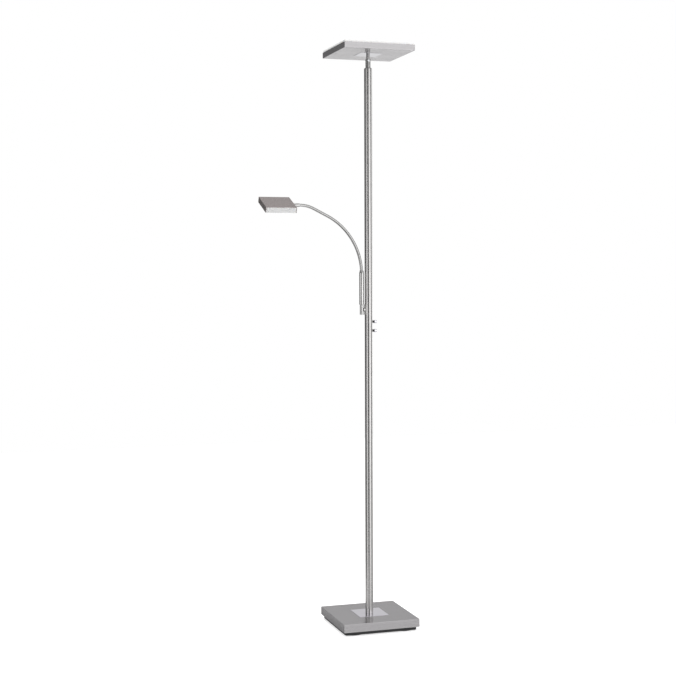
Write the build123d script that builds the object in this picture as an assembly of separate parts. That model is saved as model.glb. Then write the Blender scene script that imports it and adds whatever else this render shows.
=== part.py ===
from build123d import *
import os
from itertools import product

# Torchiere floor lamp with a square uplighter and a bent reading arm.
# Millimetres, +Z up. The origin is on the floor, on the pole's axis: -Y is the front,
# the reading arm leaves the pole towards -X and the two push buttons face +X.

# Base
base_side = 245.0
base_top = 38.0
cover_depth = 25.0
sheet = 1.5  # folded steel sheet of the base cover and the uplighter tray
edge_r = 0.8  # outside rounding of the folded sheets
chrome_side = 95.0
plate_thick = 0.6  # polished trim plates
weight_side = 230.0
weight_bottom = 18.0
weight_corner_r = 6.0
tray_side = 232.0
tray_bottom = 3.0
tray_wall = 2.0
tray_corner_r = 8.0
boss_d = 10.0
foot_d = 60.0
foot_edge_r = 1.5
foot_at = 82.5
nut_recess_d = 42.0
nut_recess_top = 28.0
channel_w = 9.0  # way for the mains lead, from the inlet to the pole
channel_top = 28.0
driver_size = (110.0, 44.0, 15.0)
driver_y = 49.0
driver_clear = 1.0
base_screw_at = (96.0, 30.0)
base_screw = {"d": 3.9, "length": 22.0, "head_d": 8.0, "head_high": 2.0, "socket": 3.0}
screw_hole_high = 10.0
inlet_d = 7.0
inlet_z = 23.0
grommet_d = 12.0
grommet_lip = 1.5
grommet_tail = 4.0
foot_nut = {"flats": 17.0, "high": 6.0}
foot_washer = {"d": 30.0, "high": 2.0}
nipple_reach = 13.0  # length of the threaded nipple above the chrome plate

# Pole
pole_d = 25.0
pole_wall = 1.2
pole_chamfer = 0.25
pole_joints = (612.0, 1178.0)
pole_top = 1736.0
cap_height = 5.0
cap_chamfer = 2.5
cap_plug = 16.0  # length of the cap's plug inside the tube
coupler_half = 22.0
coupler_wall = 2.0
foot_plug = (0.4, 15.0)  # heights above the chrome plate
plug_gap = 0.05  # radial gap between a plug and the tube around it
nipple_d = 10.0
nipple_bore = 7.0
cable_d = 5.0
cable_top = 1708.0

# Knuckle under the uplighter
knuckle_d = 16.0
pivot_z = 1763.0
slot_w = 6.0
blade_w = 5.6
blade_r = 7.5
neck_d = 11.0
pivot_pin_d = 4.0
pivot_head_d = 7.0
pivot_head = 2.4  # depth of the recesses for the pivot screw's head and nut
pivot_sunk = 0.6
pivot_slot = (0.9, 1.0)  # depth and width of the screwdriver slot
swivel_drop = 24.0  # reach of the fork's threaded stem below the pole's top
swivel_nut = {"flats": 16.0, "high": 5.7}
swivel_bore = 6.5
slot_floor = 0.8  # room under the blade
blade_shoulder = 1.5

# Uplighter head
head_side = 225.0
head_top = 1806.0
head_bottom = 1782.0
tray_depth = 18.0
head_chrome_side = 70.0
diffuser_side = 221.6
diffuser_wall = 3.0
diffuser_edge_r = 1.0
neck_nut = {"flats": 14.0, "high": 4.0}
neck_washer = {"d": 18.0, "high": 1.0}
stem_clear = 0.6  # between the stem's end and the board
diffuser_skirt = 1794.0
board_side = 184.0
board_thick = 1.6
board_z = 1789.5
led_side = 3.5
led_high = 0.8
led_rows = 7
led_pitch = 24.0
spacer_at = 84.0
spacer_flats = 7.0
board_screw = {"d": 2.4, "length": 5.0, "head_d": 5.5, "head_high": 2.0, "socket": 2.0}
block_at = 104.0
block_side = 12.0

# Reading arm
arm_x = -23.0
pin_z = 994.0
saddle_z = (978.0, 1010.0)
saddle_wall = 1.5
pin_collar_d = 12.0
pin_d = 6.0
pin_reach = 3.5  # length of the pin past the fitting's axis
pin_inside = 5.0  # length of the pin inside the pole
pin_groove = (2.6, 4.4)  # width and core of the groove that its grub screw runs in
pin_nut = {"flats": 10.0, "depth": (2.9, 6.4)}
fitting_d = 11.5
fitting_z = (978.0, 1009.0)
stem_d = 8.0
grub_d = 2.9
grub_tip_d = 1.6
grub_bite = 0.5  # reach of a grub screw's tip into its groove
grub_slot = (0.8, 0.5)
stem_z = 999.0  # lower end of the sleeve's stem
stem_groove = (1004.0, 2.6)  # middle and width of the groove that the grub screw runs in
stem_core = 6.0
stem_bore = 3.5
fitting_edge_r = 0.6
sleeve_d = 14.6
sleeve_top = 1116.0
sleeve_taper = 9.0
sleeve_lip = 1.1  # wall of the sleeve's upper end around the tube
sleeve_chamfer = 0.4
sleeve_counterbore = (10.2, 14.0)
arm_tube_d = 9.0
arm_tube_wall = 1.0
arm_foot_z = 1016.0
arm_knee_z = 1228.0  # corner between the upright and the slanting run
arm_shoulder_x = -198.0  # corner between the slanting run and the level end
arm_radii = (200.0, 100.0)
arm_end_z = 1316.0
ferrule_x = (-222.0, -243.2)
ferrule_d = 12.0
ferrule_taper = (13.0, 0.7)  # height at which the bell starts to narrow, and by how much
ferrule_nut_d = 12.0
ferrule_nut_room = 2.0
stem_inside = 6.0  # length of the ferrule's stem inside the reading head
ferrule_seat = 4.0  # depth of metal behind the tube's end
lead_d = 4.5  # bore for the reading light's lead

# Reading head, made level about its own centre and then rolled about the ferrule's axis
reader_side = 97.0
reader_deep = 17.5
reader_sheet = 1.2
reader_x = -292.0
reader_roll = 22.0
reader_wall = 2.0
reader_edge_r = 1.0
spreader_thick = 2.0
reader_board = 78.0
reader_rows = 4
reader_pitch = 18.0

# Push buttons
button_zs = {"uplight": 956.0, "reading": 928.0}
button_d = 10.0
collar_d = 10.5
collar_face = 15.0
button_back = 18.0
button_face = 25.5
plunger_d = 8.0
plunger_end = 8.2
switch_back = 3.2
switch_half = (6.4, 8.0)
switch_web = 2.0
collar_root = 2.0
button_edge_r = 1.2

# Running gaps
turn_gap = 0.05  # radial, between a shaft and its bore
face_gap = 0.3  # between two faces that turn past each other
thread_gap = 0.1  # on the diameter, between a nut and its thread
hole_gap = 0.4  # on the diameter, between a stem and a hole that it passes
slip_gap = 0.6  # on the diameter, where a stem passes a loose plate

pole_r = pole_d / 2
pole_bore = pole_d - 2 * pole_wall
plug_d = pole_bore - 2 * plug_gap
pole_foot = base_top + plate_thick
cap_top = pole_top + cap_height
from_below = (Align.CENTER, Align.CENTER, Align.MIN)


def upright(d, z0, z1, x=0.0, y=0.0):
    """A round bar along Z."""
    return Pos(x, y, z0) * Cylinder(d / 2, z1 - z0, align=from_below)


def crosswise(d, x0, x1, z):
    """A round bar along X, from x0 to the larger x1."""
    return Pos(x0, 0, z) * Rot(0, 90, 0) * Cylinder(d / 2, x1 - x0, align=from_below)


def fore_aft(d, y0, y1, x, z):
    """A round bar along Y, from y0 to the larger y1."""
    return Pos(x, y0, z) * Rot(-90, 0, 0) * Cylinder(d / 2, y1 - y0, align=from_below)


def block(x0, x1, y0, y1, z0, z1):
    """A box between two corners."""
    return Pos((x0 + x1) / 2, (y0 + y1) / 2, z0) * Box(x1 - x0, y1 - y0, z1 - z0, align=from_below)


def slab(side, z0, z1):
    """A square plate centred on the pole's axis."""
    return block(-side / 2, side / 2, -side / 2, side / 2, z0, z1)


def hexagon(flats, z0, z1):
    """A hexagonal bar along Z, by its size across flats."""
    return Pos(0, 0, z0) * extrude(RegularPolygon(flats / 2, 6, major_radius=False), z1 - z0)


def turned(profile):
    """A body of revolution about Z from its (radius, z) outline."""
    return revolve(Plane.XZ * make_face(Polyline(*profile, close=True)), Axis.Z)


def soften(solid, radius, axis=None):
    """Rounds the edges along one axis, or every edge."""
    edges = solid.edges() if axis is None else solid.edges().filter_by(axis)
    return fillet(edges, radius)


def group(solids):
    """Separate solids that share one node."""
    return Compound(children=list(solids))


def pan_screw(d, length, head_d, head_high, socket):
    """A screw along +Z with its head below z = 0 and a hexagon socket in it."""
    head = fillet(upright(head_d, -head_high, 0).edges().group_by(Axis.Z)[0], head_high * 0.4)
    return head + upright(d, 0, length) - hexagon(socket, -head_high, -head_high * 0.35)


def base_parts():
    top_in = base_top - sheet
    cover_z = base_top - cover_depth
    rear = base_side / 2
    stem_hole = nipple_d + slip_gap
    cover = slab(base_side, cover_z, base_top)
    cover = fillet(cover.edges().filter_by(Axis.Z) + cover.edges().group_by(Axis.Z)[-1], edge_r)
    cover -= slab(base_side - 2 * sheet, cover_z, top_in)
    cover -= upright(stem_hole, top_in, base_top)
    cover -= fore_aft(grommet_d, rear - sheet, rear, 0, inlet_z)

    chrome = slab(chrome_side, base_top, pole_foot) - upright(stem_hole, base_top, pole_foot)

    long, wide, high = driver_size
    driver_top = tray_bottom + tray_wall + high
    front, back = driver_y - wide / 2, driver_y + wide / 2
    pocket_x, pocket_top = long / 2 + driver_clear, driver_top + driver_clear
    weight = soften(slab(weight_side, weight_bottom, top_in), weight_corner_r, Axis.Z)
    weight -= upright(stem_hole, weight_bottom, top_in)
    weight -= upright(nut_recess_d, weight_bottom, nut_recess_top)
    pocket_y = (front - driver_clear, back + driver_clear)
    weight -= block(-pocket_x, pocket_x, *pocket_y, weight_bottom, pocket_top)
    weight -= block(-channel_w / 2, channel_w / 2, 0, weight_side / 2, weight_bottom, channel_top)

    tray_floor = tray_bottom + tray_wall
    tray = soften(slab(tray_side, tray_bottom, weight_bottom), tray_corner_r, Axis.Z)
    tray_hollow = slab(tray_side - 2 * tray_wall, tray_floor, weight_bottom)
    tray -= soften(tray_hollow, tray_corner_r - tray_wall, Axis.Z)
    screw_x, screw_y = base_screw_at
    screw_spots = list(product((-screw_x, screw_x), (-screw_y, screw_y)))
    for x, y in screw_spots:
        weight -= upright(base_screw["d"] + thread_gap, weight_bottom, weight_bottom + screw_hole_high, x, y)
        tray += upright(boss_d, tray_floor, weight_bottom, x, y)
        tray -= upright(base_screw["d"] + slip_gap, tray_bottom, weight_bottom, x, y)

    foot = upright(foot_d, 0, tray_bottom)
    foot = fillet(foot.edges().group_by(Axis.Z)[0], foot_edge_r)
    screw = pan_screw(**base_screw)
    driver = soften(block(-long / 2, long / 2, front, back, driver_top - high, driver_top), 2, Axis.Z)

    tail = rear - grommet_tail
    grommet = fore_aft(grommet_d - thread_gap, tail, rear, 0, inlet_z)
    grommet += fore_aft(grommet_d + 3, rear, rear + grommet_lip, 0, inlet_z)
    grommet += fore_aft(grommet_d + 2, tail, rear - sheet - thread_gap, 0, inlet_z)
    grommet -= fore_aft(inlet_d, tail, rear + grommet_lip, 0, inlet_z)

    nipple_z = (weight_bottom + 1, pole_foot + nipple_reach)
    washer_z = (nut_recess_top - foot_washer["high"], nut_recess_top)
    nut_z = (washer_z[0] - foot_nut["high"], washer_z[0])
    return {
        "base_cover": cover,
        "base_chrome_plate": chrome,
        "base_weight": weight,
        "base_tray": tray,
        "rubber_feet": group(Pos(x, y) * foot for x, y in product((-foot_at, foot_at), repeat=2)),
        "base_screws": group(Pos(x, y, tray_bottom) * screw for x, y in screw_spots),
        "led_driver": driver,
        "cord_grommet": grommet,
        "foot_nipple": upright(nipple_d, *nipple_z) - upright(nipple_bore, *nipple_z),
        "foot_washer": upright(foot_washer["d"], *washer_z) - upright(nipple_d + hole_gap, *washer_z),
        "foot_nut": hexagon(foot_nut["flats"], *nut_z) - upright(nipple_d + thread_gap, *nut_z),
    }


def pole_section(z0, z1):
    tube = upright(pole_d, z0, z1)
    tube = chamfer(tube.edges(), pole_chamfer)
    return tube - upright(pole_bore, z0, z1)


def pole_parts():
    levels = (pole_foot, *pole_joints, pole_top)
    lower, middle, upper = (pole_section(z0, z1) for z0, z1 in zip(levels, levels[1:]))
    middle -= crosswise(pin_d + hole_gap, -pole_r, 0, pin_z)
    for z in button_zs.values():
        middle -= crosswise(plunger_d + slip_gap, 0, pole_r, z)

    plug_z = [pole_foot + rise for rise in foot_plug]
    coupler = upright(plug_d, -coupler_half, coupler_half)
    coupler -= upright(plug_d - 2 * coupler_wall, -coupler_half, coupler_half)
    cap = chamfer(upright(pole_d, pole_top, cap_top).edges().group_by(Axis.Z)[-1], cap_chamfer)
    cap += upright(plug_d, pole_top - cap_plug, pole_top)
    cap -= upright(nipple_d + 2 * turn_gap, pole_top - cap_plug, cap_top)
    return {
        "pole_lower": lower,
        "pole_middle": middle,
        "pole_upper": upper,
        "pole_couplers": group(Pos(0, 0, z) * coupler for z in pole_joints),
        "pole_foot_plug": upright(plug_d, *plug_z) - upright(nipple_d + thread_gap, *plug_z),
        "pole_top_cap": cap,
        "pole_cable": upright(cable_d, weight_bottom + 2, cable_top),
    }


def knuckle_parts():
    floor_z = cap_top + face_gap
    half_d = knuckle_d / 2
    slot_z = pivot_z - blade_r - slot_floor
    fork = upright(knuckle_d, floor_z, pivot_z + half_d)
    crown = fore_aft(knuckle_d, -half_d, half_d, 0, pivot_z)
    fork &= crown + block(-half_d, half_d, -half_d, half_d, floor_z, pivot_z)
    fork -= block(-half_d, half_d, -slot_w / 2, slot_w / 2, slot_z, pivot_z + half_d)
    fork += upright(nipple_d, pole_top - swivel_drop, floor_z)
    fork -= upright(swivel_bore, pole_top - swivel_drop, slot_z)
    head_y, nut_y = -half_d + pivot_head, half_d - pivot_head
    fork -= fore_aft(pivot_pin_d + thread_gap, -half_d, half_d, 0, pivot_z)
    fork -= fore_aft(pivot_head_d + hole_gap, -half_d, head_y, 0, pivot_z)
    fork -= fore_aft(pivot_head_d + hole_gap, nut_y, half_d, 0, pivot_z)

    face_y = -half_d + pivot_sunk
    screw = fore_aft(pivot_head_d, face_y, head_y, 0, pivot_z)
    screw += fore_aft(pivot_pin_d, head_y, -face_y, 0, pivot_z)
    cut_deep, cut_wide = pivot_slot
    cut_z = (pivot_z - cut_wide / 2, pivot_z + cut_wide / 2)
    screw -= block(-half_d, half_d, face_y, face_y + cut_deep, *cut_z)
    nut = fore_aft(pivot_head_d, nut_y, -face_y, 0, pivot_z)
    nut -= fore_aft(pivot_pin_d + thread_gap, nut_y, -face_y, 0, pivot_z)

    lock_top = pole_top - cap_plug - face_gap
    lock_z = (lock_top - swivel_nut["high"], lock_top)
    return {
        "knuckle_fork": fork,
        "knuckle_screw": screw,
        "knuckle_nut": nut,
        "swivel_nut": hexagon(swivel_nut["flats"], *lock_z) - upright(nipple_d + thread_gap, *lock_z),
    }


def uplight_parts():
    trim_z = head_bottom - plate_thick
    rim_z = head_bottom + tray_depth
    floor_in = head_bottom + sheet

    blade_top = pivot_z + blade_r + blade_shoulder
    stem_top = board_z - stem_clear
    blade = fore_aft(2 * blade_r, -blade_w / 2, blade_w / 2, 0, pivot_z)
    blade += block(-neck_d / 2, neck_d / 2, -blade_w / 2, blade_w / 2, pivot_z, blade_top)
    neck = blade & upright(2 * blade_r, pivot_z - blade_r, blade_top)
    neck += upright(neck_d, blade_top, trim_z)
    neck += upright(nipple_d, trim_z, stem_top)
    neck -= fore_aft(pivot_pin_d + 2 * turn_gap, -blade_w / 2, blade_w / 2, 0, pivot_z)
    neck -= upright(cable_d, blade_top, stem_top)

    tray = slab(head_side, head_bottom, rim_z)
    tray = fillet(tray.edges().filter_by(Axis.Z) + tray.edges().group_by(Axis.Z)[0], edge_r)
    tray -= slab(head_side - 2 * sheet, floor_in, rim_z)
    tray -= upright(nipple_d + hole_gap, head_bottom, floor_in)
    trim = slab(head_chrome_side, trim_z, head_bottom) - upright(nipple_d + hole_gap, trim_z, head_bottom)

    board = slab(board_side, board_z, board_z + board_thick)
    spacer = hexagon(spacer_flats, floor_in, board_z)
    spacer -= upright(board_screw["d"] + thread_gap, floor_in, board_z)
    screw = Rot(180, 0, 0) * pan_screw(**board_screw)
    spacers, screws = [], []
    for x, y in product((-spacer_at, spacer_at), repeat=2):
        board -= upright(board_screw["d"] + hole_gap, board_z, board_z + board_thick, x, y)
        spacers.append(Pos(x, y) * spacer)
        screws.append(Pos(x, y, board_z + board_thick) * screw)
    led_z = board_z + board_thick
    half_rows = (led_rows - 1) / 2
    led = block(-led_side / 2, led_side / 2, -led_side / 2, led_side / 2, led_z, led_z + led_high)
    grid = [led_pitch * (i - half_rows) for i in range(led_rows)]

    post = block(-block_side / 2, block_side / 2, -block_side / 2, block_side / 2, floor_in, diffuser_skirt)
    diffuser = slab(diffuser_side, diffuser_skirt, head_top)
    outer_edges = diffuser.edges().filter_by(Axis.Z) + diffuser.edges().group_by(Axis.Z)[-1]
    diffuser = fillet(outer_edges, diffuser_edge_r)
    diffuser -= slab(diffuser_side - 2 * diffuser_wall, diffuser_skirt, head_top - diffuser_wall)

    washer_z = (floor_in, floor_in + neck_washer["high"])
    nut_z = (washer_z[1], washer_z[1] + neck_nut["high"])
    return {
        "knuckle_neck": neck,
        "neck_washer": upright(neck_washer["d"], *washer_z) - upright(nipple_d + hole_gap, *washer_z),
        "neck_nut": hexagon(neck_nut["flats"], *nut_z) - upright(nipple_d + thread_gap, *nut_z),
        "uplight_tray": tray,
        "uplight_chrome_plate": trim,
        "uplight_board": board,
        "board_spacers": group(spacers),
        "board_screws": group(screws),
        "uplight_leds": group(Pos(x, y) * led for x, y in product(grid, repeat=2)),
        "corner_blocks": group(Pos(x, y) * post for x, y in product((-block_at, block_at), repeat=2)),
        "uplight_diffuser": diffuser,
    }


def bracket_parts():
    saddle_r = pole_r + turn_gap
    saddle_out = saddle_r + saddle_wall
    saddle = upright(2 * saddle_out, *saddle_z) - upright(2 * saddle_r, *saddle_z)
    saddle &= block(-saddle_out, -saddle_out / 2, -saddle_out, saddle_out, *saddle_z)
    saddle -= crosswise(pin_d + hole_gap, -saddle_out, 0, pin_z)

    fitting_r = fitting_d / 2
    collar_end = arm_x + fitting_r + face_gap
    pin_tip = arm_x - pin_reach
    groove_w, groove_d = pin_groove
    groove_x = (arm_x - groove_w / 2, arm_x + groove_w / 2)
    pin = crosswise(pin_collar_d, collar_end, -pole_r, pin_z) - upright(2 * saddle_out, *saddle_z)
    pin += crosswise(pin_d, pin_tip, -pole_r + pin_inside, pin_z)
    pin -= crosswise(pin_d, *groove_x, pin_z) - crosswise(groove_d, *groove_x, pin_z)

    nut_x = [-pole_r + depth for depth in pin_nut["depth"]]
    pole_nut = Pos(0, 0, pin_z) * Rot(0, 90, 0) * hexagon(pin_nut["flats"], *nut_x)

    fitting = soften(upright(fitting_d, *fitting_z, arm_x), fitting_edge_r)
    fitting -= crosswise(pin_d + 2 * turn_gap, pin_tip - face_gap, arm_x + fitting_r, pin_z)
    fitting -= upright(stem_d + 2 * turn_gap, stem_z - face_gap, fitting_z[1], arm_x)
    screws = []
    for z, shaft_r in ((pin_z, pin_d / 2), (stem_groove[0], stem_d / 2)):
        fitting -= fore_aft(grub_d + thread_gap, shaft_r - grub_bite, fitting_r, arm_x, z)
        shank = fore_aft(grub_d, shaft_r + face_gap, fitting_r - face_gap, arm_x, z)
        tip = fore_aft(grub_tip_d, shaft_r - grub_bite, shaft_r + face_gap, arm_x, z)
        half, (cut_deep, cut_wide) = grub_d / 2, grub_slot
        cut_z = (z - cut_wide / 2, z + cut_wide / 2)
        slot = block(arm_x - half, arm_x + half, fitting_r - cut_deep, fitting_r, *cut_z)
        screws.append(shank + tip - slot)
    return {
        "arm_saddle": saddle,
        "arm_pin": pin,
        "arm_pin_nut": pole_nut - crosswise(pin_d + thread_gap, *nut_x, pin_z),
        "arm_fitting": fitting,
        "arm_grub_screws": group(screws),
    }


def arm_parts():
    sleeve_z = fitting_z[1] + face_gap
    groove_mid, groove_w = stem_groove
    groove_z = (groove_mid - groove_w / 2, groove_mid + groove_w / 2)
    sleeve_r, tube_r = sleeve_d / 2, arm_tube_d / 2
    sleeve = turned([
        (0, sleeve_z),
        (sleeve_r - sleeve_chamfer, sleeve_z),
        (sleeve_r, sleeve_z + sleeve_chamfer),
        (sleeve_r, sleeve_top - sleeve_taper),
        (tube_r + sleeve_lip, sleeve_top),
        (0, sleeve_top),
    ])
    sleeve += upright(stem_d, stem_z, sleeve_z)
    sleeve -= upright(stem_d, *groove_z) - upright(stem_core, *groove_z)
    sleeve -= upright(arm_tube_d + 2 * thread_gap, arm_foot_z, sleeve_top)
    mouth_d, mouth_deep = sleeve_counterbore
    sleeve -= upright(mouth_d, sleeve_top - mouth_deep, sleeve_top)
    sleeve -= upright(stem_bore, stem_z, arm_foot_z)

    mouth, face = ferrule_x
    end_x = face + ferrule_seat + 2 * thread_gap
    corners = [
        (arm_x, 0, arm_foot_z),
        (arm_x, 0, arm_knee_z),
        (arm_shoulder_x, 0, arm_end_z),
        (end_x, 0, arm_end_z),
    ]
    route = FilletPolyline(*corners, radius=arm_radii)
    start = Plane(origin=corners[0], z_dir=(0, 0, 1))
    section = Circle(tube_r) - Circle(tube_r - arm_tube_wall)
    tube = sweep(start * section, path=route)

    taper_from, taper_by = ferrule_taper
    bell = turned([
        (0, 0),
        (ferrule_d / 2, 0),
        (ferrule_d / 2, taper_from),
        (ferrule_d / 2 - taper_by, mouth - face),
        (0, mouth - face),
    ])
    ferrule = Pos(face, 0, arm_end_z) * Rot(0, 90, 0) * bell
    stem_end = reader_x + reader_side / 2 - stem_inside
    ferrule += crosswise(stem_d, stem_end, face, arm_end_z)
    ferrule -= crosswise(arm_tube_d + thread_gap, face + ferrule_seat, mouth, arm_end_z)
    ferrule -= crosswise(lead_d, stem_end, face + ferrule_seat, arm_end_z)
    nut_x = (stem_end + 0.8, reader_x + reader_side / 2 - reader_sheet - face_gap)
    nut = crosswise(ferrule_nut_d, *nut_x, arm_end_z) - crosswise(stem_d + thread_gap, *nut_x, arm_end_z)
    return {
        "arm_sleeve": Pos(arm_x) * sleeve,
        "arm_tube": tube,
        "arm_ferrule": ferrule,
        "ferrule_nut": nut,
    }


def reader_parts():
    half, deep = reader_side / 2, reader_deep / 2
    inner = half - reader_sheet
    top_in = deep - reader_sheet
    cover = slab(reader_side, -deep, deep)
    cover = fillet(cover.edges().filter_by(Axis.Y).group_by(Axis.Z)[-1], edge_r)
    cover -= block(-inner, inner, -half, half, -deep, top_in)
    cover -= crosswise(stem_d + 2 * turn_gap, inner, half, 0)

    tub_x, tub_top = inner - 0.2, top_in - 0.1
    tub = block(-tub_x, tub_x, -half, half, -deep, tub_top)
    tub = fillet(tub.edges().group_by(Axis.Z)[0], reader_edge_r)
    tub_floor = -deep + reader_wall
    inner_x, inner_y = tub_x - reader_wall, half - reader_wall
    tub -= block(-inner_x, inner_x, -inner_y, inner_y, tub_floor, tub_top)
    nut_y = ferrule_nut_d / 2 + ferrule_nut_room
    tub -= block(inner_x, tub_x, -nut_y, nut_y, tub_floor, tub_top)

    spreader_z = (top_in - spreader_thick, top_in)
    board_z0 = spreader_z[0] - board_thick
    spreader = slab(reader_board, *spreader_z)
    board = slab(reader_board, board_z0, spreader_z[0])
    led = block(-led_side / 2, led_side / 2, -led_side / 2, led_side / 2, board_z0 - led_high, board_z0)
    grid = [reader_pitch * (i - (reader_rows - 1) / 2) for i in range(reader_rows)]
    level = {
        "reading_cover": cover,
        "reading_diffuser": tub,
        "reading_spreader": spreader,
        "reading_board": board,
        "reading_leds": group(Pos(x, y) * led for x, y in product(grid, repeat=2)),
    }
    place = Pos(reader_x, 0, arm_end_z) * Rot(reader_roll, 0, 0)
    return {name: place * shape for name, shape in level.items()}


def button_parts():
    parts, collars, housings = {}, [], []
    half_y, half_z = switch_half
    switch_front = plunger_end + hole_gap
    well = switch_back + switch_web
    for name, z in button_zs.items():
        ring = crosswise(collar_d, pole_r - collar_root, collar_face, z)
        ring -= upright(pole_d, z - half_z, z + half_z)
        collars.append(ring - crosswise(plunger_d + 2 * turn_gap, 0, collar_face, z))
        housing = block(switch_back, switch_front, -half_y, half_y, z - half_z, z + half_z)
        housings.append(housing - crosswise(plunger_d + hole_gap, well, switch_front, z))
        cap = crosswise(button_d, button_back, button_face, z)
        parts[f"{name}_plunger"] = crosswise(plunger_d, plunger_end, button_back, z)
        parts[f"{name}_button"] = fillet(cap.edges().group_by(Axis.X)[-1], button_edge_r)
    parts["button_collars"] = group(collars)
    parts["switch_housings"] = group(housings)
    return parts


os.makedirs("parts", exist_ok=True)
for make in (
    base_parts, pole_parts, knuckle_parts, uplight_parts,
    bracket_parts, arm_parts, reader_parts, button_parts,
):
    for name, shape in make().items():
        export_step(shape, f"parts/{name}.step")
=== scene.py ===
import bpy
import bmesh
from math import copysign, cos, pi, radians, sin, tan
from mathutils import Matrix, Vector


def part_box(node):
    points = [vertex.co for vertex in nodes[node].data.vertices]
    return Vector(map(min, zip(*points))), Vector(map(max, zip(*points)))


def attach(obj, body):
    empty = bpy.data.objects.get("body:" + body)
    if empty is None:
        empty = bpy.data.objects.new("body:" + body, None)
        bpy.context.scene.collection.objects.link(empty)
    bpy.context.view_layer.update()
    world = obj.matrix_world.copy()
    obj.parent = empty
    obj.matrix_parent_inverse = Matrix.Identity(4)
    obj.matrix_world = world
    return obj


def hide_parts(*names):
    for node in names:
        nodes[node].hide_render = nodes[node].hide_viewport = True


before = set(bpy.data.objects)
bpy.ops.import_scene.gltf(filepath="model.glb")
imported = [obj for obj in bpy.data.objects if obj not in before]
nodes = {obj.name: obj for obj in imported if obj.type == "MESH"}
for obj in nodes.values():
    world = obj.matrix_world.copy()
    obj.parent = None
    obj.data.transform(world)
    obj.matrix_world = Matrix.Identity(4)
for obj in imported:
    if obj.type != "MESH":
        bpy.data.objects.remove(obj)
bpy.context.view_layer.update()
scene = bpy.context.scene
scene.view_settings.view_transform = "Standard"
print("frame loaded:", len(nodes), "nodes")


# short ways to add objects and nodes

def addObject(name, data):
    piece = bpy.data.objects.new(name, data)
    scene.collection.objects.link(piece)
    return piece


def feed(tree, socket, value):
    if isinstance(value, bpy.types.NodeSocket):
        tree.links.new(value, socket)
    else:
        socket.default_value = value


def put(tree, kind, inputs=(), **values):
    # a node with its settings, and each input given as a value or as another node's output
    node = tree.nodes.new(kind)
    for key, value in values.items():
        setattr(node, key, value)
    for key, value in dict(inputs).items():
        feed(tree, node.inputs[key], value)
    return node


def blendShaders(tree, factor, first, second):
    return put(tree, "ShaderNodeMixShader", {0: factor, 1: first.outputs[0], 2: second.outputs[0]})


class Shader:
    # one material's node tree
    def __init__(self, name):
        self.material = bpy.data.materials.new(name)
        self.material.use_nodes = True
        self.tree = self.material.node_tree
        self.main = self.tree.nodes["Principled BSDF"]

    def put(self, kind, inputs=(), **values):
        return put(self.tree, kind, inputs, **values)

    def give(self, name, value):
        feed(self.tree, self.main.inputs[name], value)

    def sums(self, operation, a, b=0.0):
        return self.put("ShaderNodeMath", {0: a, 1: b}, operation=operation).outputs[0]

    def place(self, centre=(0, 0, 0), turn=(0, 0, 0)):
        # the piece's own level coordinates, in metres
        where = self.put("ShaderNodeTexCoord").outputs["Object"]
        inputs = {"Vector": where, "Location": centre, "Rotation": turn}
        return self.put("ShaderNodeMapping", inputs, vector_type="TEXTURE").outputs[0]

    def stretch(self, vector, scale):
        return self.put("ShaderNodeVectorMath", {0: vector, 1: scale}, operation="MULTIPLY").outputs[0]

    def noise(self, vector, scale=1.0, detail=3.0, rough=0.5):
        inputs = {"Vector": vector, "Scale": scale, "Detail": detail, "Roughness": rough}
        return self.put("ShaderNodeTexNoise", inputs).outputs["Fac"]

    def remap(self, value, low, high, start=0.3, end=0.7, smooth=False):
        inputs = {"Value": value, "From Min": start, "From Max": end, "To Min": low, "To Max": high}
        curve = "SMOOTHSTEP" if smooth else "LINEAR"
        return self.put("ShaderNodeMapRange", inputs, interpolation_type=curve).outputs["Result"]

    def blendColours(self, factor, first, second):
        first, second = ((*c, 1) if isinstance(c, tuple) else c for c in (first, second))
        inputs = {"Factor": factor, 6: first, 7: second}
        return self.put("ShaderNodeMix", inputs, data_type="RGBA").outputs[2]

    def bump(self, height, distance, strength=1.0):
        inputs = {"Strength": strength, "Distance": distance, "Height": height}
        self.give("Normal", self.put("ShaderNodeBump", inputs).outputs[0])

    def edges(self, place, half, width):
        # 0 on a flat side, rising to 1 over the last stretch before a box edge
        size = self.put("ShaderNodeVectorMath", {0: place}, operation="ABSOLUTE").outputs[0]
        split = self.put("ShaderNodeSeparateXYZ", {0: size}).outputs
        near = [self.remap(split[i], 0, 1, half[i] - width, half[i], smooth=True) for i in range(3)]
        pairs = [self.sums("MULTIPLY", near[i], near[(i + 1) % 3]) for i in range(3)]
        return self.sums("MAXIMUM", self.sums("MAXIMUM", pairs[0], pairs[1]), pairs[2])


# camera and studio

cameraSet = {"distance": 4.201, "side": -0.096, "height": 1.110, "azimuth": 17.52,
             "pitch": 2.79, "roll": -0.21, "lens": 71.7}


def addCamera(settings):
    turn = radians(settings["azimuth"])
    away, side = settings["distance"], settings["side"]
    east = side * cos(turn) - away * sin(turn)
    north = -side * sin(turn) - away * cos(turn)
    place = Vector((east, north, settings["height"]))
    data = bpy.data.cameras.new("camera")
    data.lens = settings["lens"]
    camera = addObject("camera", data)
    look = Matrix.Rotation(-turn, 4, "Z") @ Matrix.Rotation(radians(90 - settings["pitch"]), 4, "X")
    roll = Matrix.Rotation(radians(settings["roll"]), 4, "Z")
    camera.matrix_world = Matrix.Translation(place) @ look @ roll
    scene.camera = camera


def facingLamp(settings):
    # a place round the lamp, turned to it: bearing 0 is towards the camera, positive to its right
    angle = radians(settings["bearing"] - cameraSet["azimuth"])
    distance, height = settings["distance"], settings["height"]
    place = Vector((sin(angle) * distance, -cos(angle) * distance, height))
    aim = Vector((0, 0, height)) - place
    return Matrix.Translation(place) @ aim.to_track_quat("-Z", "Y").to_matrix().to_4x4()


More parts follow.
